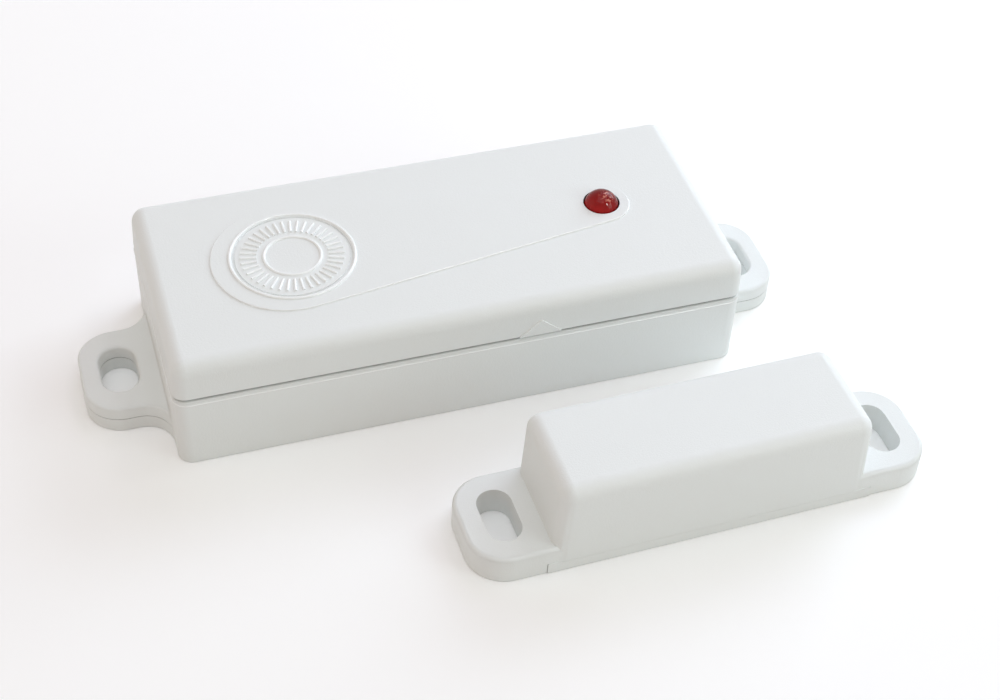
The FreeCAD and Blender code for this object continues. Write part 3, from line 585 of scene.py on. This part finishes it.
class ContactLamp(bpy.types.Operator):
    """Give the lamp its tinted resin and its leads their tin"""

    bl_idname = "contact.lamp"
    bl_label = "Lamp"

    def execute(self, context):
        scene = context.scene
        finish_node("indicator_lamp", tinted_resin(scene.contact_sizes, scene.contact_colours))
        # Tinned copper: light grey, softly bright, with lines along the wire.
        tin = drawn_metal("tinned_copper_wire", "#C9CBCC", roughness=0.32, pitch=0.2 * MM,
                          stretch=(1, 1, 0.1))
        finish_node("lamp_leads", tin)
        return {"FINISHED"}


class ContactSwitch(bpy.types.Operator):
    """Give the magnetic switch its glass and its leads"""

    bl_idname = "contact.switch"
    bl_label = "Magnetic switch"

    def execute(self, context):
        finish_node("reed_glass", drawn_glass())
        # Drawn nickel iron: warmer and a little darker than tin, with lines along the wire.
        wire = drawn_metal("drawn_nickel_iron_wire", "#BFBDB8", roughness=0.28, pitch=0.2 * MM,
                           stretch=(0.1, 1, 1))
        finish_node("reed_leads", wire)
        return {"FINISHED"}


class ContactBattery(bpy.types.Operator):
    """Give the battery its sleeve and its contacts their nickel"""

    bl_idname = "contact.battery"
    bl_label = "Battery and contacts"

    def execute(self, context):
        finish_node("battery", sleeved_battery(context.scene.contact_colours))
        # Rolled nickel strip: yellowish grey and satin, with rolling lines up the strip.
        strip = drawn_metal("rolled_nickel_strip", "#C2BEB4", roughness=0.34, pitch=0.15 * MM,
                            stretch=(1, 1, 0.08))
        for name in ("positive_contact", "negative_contact"):
            finish_node(name, strip)
        return {"FINISHED"}


class ContactBoard(bpy.types.Operator):
    """Give the circuit board and everything on it their finishes"""

    bl_idname = "contact.board"
    bl_label = "Circuit board"

    def execute(self, context):
        scene = context.scene
        finish_node("circuit_board", solder_masked_laminate(scene.contact_sizes, scene.contact_colours))
        self.finish_black_bodies()
        self.finish_metal_parts()
        self.finish_small_parts()
        return {"FINISHED"}

    def finish_black_bodies(self):
        """Gives the bodies that hold chips their moulded epoxy."""
        # Moulded epoxy: near black and dull, with a fine grain.
        epoxy = moulded("moulded_black_epoxy", "#1C1D1F", roughness=0.55, grain=0.15 * MM, depth=0.02 * MM)
        for name in ("microcontroller", "radio_transistor"):
            finish_node(name, epoxy)

    def finish_metal_parts(self):
        """Gives the cans, the aerial and the screws their metals."""
        # Pressed nickel silver: bright and slightly warm, without a direction.
        can = drawn_metal("pressed_nickel_silver_can", "#C6C4BF", roughness=0.22, pitch=0.4 * MM,
                          stretch=(1, 1, 1))
        for name in ("crystal", "radio_resonator"):
            finish_node(name, can)
        # Lacquered copper: orange under a clear gloss, with rolling lines along the case.
        copper = drawn_metal("lacquered_copper_strip", "#B9683A", roughness=0.25, pitch=0.3 * MM,
                             stretch=(0.1, 1, 1), coat=0.5)
        finish_node("aerial_loop", copper)
        # Extruded aluminium: pale and satin, with lines up the can.
        aluminium = drawn_metal("impact_extruded_aluminium", "#D0D2D3", roughness=0.3, pitch=0.2 * MM,
                                stretch=(1, 1, 0.1))
        finish_node("reservoir_capacitor", aluminium)
        # Zinc plating: bluish grey and softly bright.
        zinc = drawn_metal("zinc_plated_steel", "#BFC3C6", roughness=0.3, pitch=0.15 * MM,
                           stretch=(1, 1, 0.2))
        finish_node("board_screws", zinc)

    def finish_small_parts(self):
        """Gives the chip parts their ceramics and the tamper switch its plastics."""
        # Glazed and fired ceramics: black and tan, each block with two bright tinned ends.
        resistor = two_ended("glazed_chip_resistor", "#17181A", "chip_resistors", count=5)
        finish_node("chip_resistors", resistor)
        capacitor = two_ended("fired_chip_capacitor", "#A88158", "chip_capacitors", count=5)
        finish_node("chip_capacitors", capacitor)
        # Moulded nylon: black with a soft sheen.
        nylon = moulded("moulded_black_nylon", "#1F2022", roughness=0.45, grain=0.3 * MM, depth=0.02 * MM)
        finish_node("tamper_switch", nylon)
        # Moulded phenolic: brown and a little glossier than the nylon.
        phenolic = moulded("moulded_brown_phenolic", "#5A4A3B", roughness=0.4, grain=0.3 * MM,
                           depth=0.02 * MM)
        finish_node("tamper_button", phenolic)


class ContactMagnet(bpy.types.Operator):
    """Give the magnet unit its white plastic and its magnet the look of ferrite"""

    bl_idname = "contact.magnet"
    bl_label = "Magnet unit"

    def execute(self, context):
        scene = context.scene
        # The closing plate fits tightly, so the painted shade in its joint is paler than in the transmitter's
        # joints.
        white = spark_eroded_abs(scene.contact_sizes, scene.contact_colours,
                                 "spark_eroded_abs_pale_joint_shade", shade_share=0.4)
        for name in ("magnet_case", "magnet_plate"):
            dressed(name, white)
        # Sintered ferrite: dark grey and dull, with a coarse ground grain.
        ferrite = moulded("sintered_ferrite", "#37383A", roughness=0.6, grain=0.2 * MM, depth=0.03 * MM)
        finish_node("bar_magnet", ferrite)
        return {"FINISHED"}


def area_light(name, place, size, power, code):
    """Square soft box that is turned towards the origin; its size in metres, its power in watts."""
    data = bpy.data.lights.new(name, "AREA")
    data.shape = "SQUARE"
    data.size = size
    data.energy = power
    data.color = linear(code)
    light = bpy.data.objects.new(name, data)
    light.location = place
    light.rotation_euler = (-Vector(place)).to_track_quat("-Z", "Y").to_euler()
    bpy.context.scene.collection.objects.link(light)
    return light


def seen_rays(tree):
    """1 for rays that show the background: from the camera, a mirror or through glass."""
    path = add(tree, "ShaderNodeLightPath").outputs
    direct = {0: path["Is Camera Ray"], 1: path["Is Glossy Ray"]}
    some = add(tree, "ShaderNodeMath", direct, operation="MAXIMUM").outputs[0]
    every = {0: some, 1: path["Is Transmission Ray"]}
    return add(tree, "ShaderNodeMath", every, operation="MAXIMUM").outputs[0]


class ContactStage(bpy.types.Operator):
    """Lay the table, set the lights and stand the camera where the photograph was taken"""

    bl_idname = "contact.stage"
    bl_label = "Stage"

    def execute(self, context):
        scene = context.scene
        scene.view_settings.view_transform = "Standard"
        self.lay_table(scene)
        self.light_room(scene)
        self.hang_lights()
        self.stand_camera(scene)
        return {"FINISHED"}

    def lay_table(self, scene):
        """Lays a white sweep just under the units, which the camera sees as paper white."""
        half_side = 1.5
        top = -0.05 * MM
        patch = 40 * MM
        signs = ((-1, -1), (1, -1), (1, 1), (-1, 1))
        corners = [(half_side * x, half_side * y, top) for x, y in signs]
        data = bpy.data.meshes.new("table")
        data.from_pydata(corners, [], [(0, 1, 2, 3)])
        table = bpy.data.objects.new("table", data)
        scene.collection.objects.link(table)
        material, tree, shader, place = new_material("white_paper_sweep")
        paper = scene.contact_colours.floor
        seen = seen_rays(tree)
        tone = mottle(tree, place, pitch=patch, low=shade(paper, 0.995), high=paper)
        shown = {SHARE: seen, FIRST: tone, SECOND: rgba("#FFFFFF")}
        colour_seen = add(tree, "ShaderNodeMix", shown, data_type="RGBA").outputs[MIXED]
        lift = add(tree, "ShaderNodeMath", {0: seen, 1: 0.05}, operation="MULTIPLY").outputs[0]
        fill(tree, shader, {"Base Color": colour_seen, "Roughness": 0.9, "Emission Color": rgba("#FFFFFF"),
                            "Emission Strength": lift})
        data.materials.append(material)

    def light_room(self, scene):
        """Sets a soft warm room, which shows as white to the rays that see it."""
        world = bpy.data.worlds.new("studio")
        world.use_nodes = True
        tree = world.node_tree
        tree.nodes.clear()
        soft = add(tree, "ShaderNodeBackground", {"Color": rgba("#FFEEE1"), "Strength": 0.47})
        white = add(tree, "ShaderNodeBackground", {"Color": rgba("#FFFFFF"), "Strength": 1.0})
        sides = {0: seen_rays(tree), 1: soft.outputs[0], 2: white.outputs[0]}
        mix = add(tree, "ShaderNodeMixShader", sides)
        add(tree, "ShaderNodeOutputWorld", {"Surface": mix.outputs[0]})
        scene.world = world

    def hang_lights(self):
        """Hangs the soft boxes round the units."""
        area_light("overhead", (-0.1, -0.1, 0.9), size=0.7, power=1.9, code="#E3F4FF")
        area_light("window", (0.45, 0.55, 0.75), size=0.6, power=1.2, code="#DCDAFF")
        area_light("side", (0.5, 0.3, 0.3), size=0.4, power=2.05, code="#DFF0FF")
        area_light("front_right", (0.45, -0.4, 0.25), size=0.3, power=0.82, code="#DEF4F5")
        area_light("left", (-0.8, 0.15, 0.35), size=0.6, power=0.42, code="#FFE8CC")
        # This one draws the bright line along rounded edges, and leaves the dull tones as they are.
        edges = area_light("edge_highlight", (0.265, -0.387, 0.42), size=0.08, power=1.2, code="#FFFFFF")
        edges.visible_diffuse = False
        area_light("glint", (0.38, 0.02, 0.78), size=0.1, power=0.25, code="#FFFFFF")

    def stand_camera(self, scene):
        """Stands the camera where the photograph's edges and corners put it."""
        place = Vector((-53.34, -181.21, 181.85)) * MM
        aim = Vector((7.84, -7.29, 0.0)) * MM
        roll = Matrix.Rotation(math.radians(3.03), 3, "Z")
        data = bpy.data.cameras.new("camera")
        data.sensor_width = 36.0
        data.lens = 64.75
        data.clip_start = 0.01
        data.clip_end = 10.0
        camera = bpy.data.objects.new("camera", data)
        camera.location = place
        facing = (aim - place).to_track_quat("-Z", "Y").to_matrix() @ roll
        camera.rotation_euler = facing.to_euler()
        scene.collection.objects.link(camera)
        scene.camera = camera


STEPS = (ContactShells, ContactRelief, ContactLine, ContactLamp, ContactSwitch, ContactBattery, ContactBoard,
         ContactMagnet, ContactStage)


class ContactPanel(bpy.types.Panel):
    """Lists the steps in the order in which they are run"""

    bl_idname = "VIEW3D_PT_contact"
    bl_label = "Door contact"
    bl_space_type = "VIEW_3D"
    bl_region_type = "UI"
    bl_category = "Door Contact"

    def draw(self, context):
        for step in STEPS:
            self.layout.operator(step.bl_idname)


CLASSES = (ContactSizes, ContactColours, *STEPS, ContactPanel)


def register():
    """Registers the classes and hangs the sizes and colours on the scene."""
    for cls in CLASSES:
        bpy.utils.register_class(cls)
    bpy.types.Scene.contact_sizes = PointerProperty(type=ContactSizes)
    bpy.types.Scene.contact_colours = PointerProperty(type=ContactColours)


def unregister():
    """Takes the sizes and colours off the scene and removes the classes."""
    del bpy.types.Scene.contact_colours
    del bpy.types.Scene.contact_sizes
    for cls in reversed(CLASSES):
        bpy.utils.unregister_class(cls)


def main():
    """Registers the add-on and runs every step."""
    register()
    for step in STEPS:
        group, name = step.bl_idname.split(".")
        getattr(getattr(bpy.ops, group), name)()


if __name__ == "__main__":
    main()
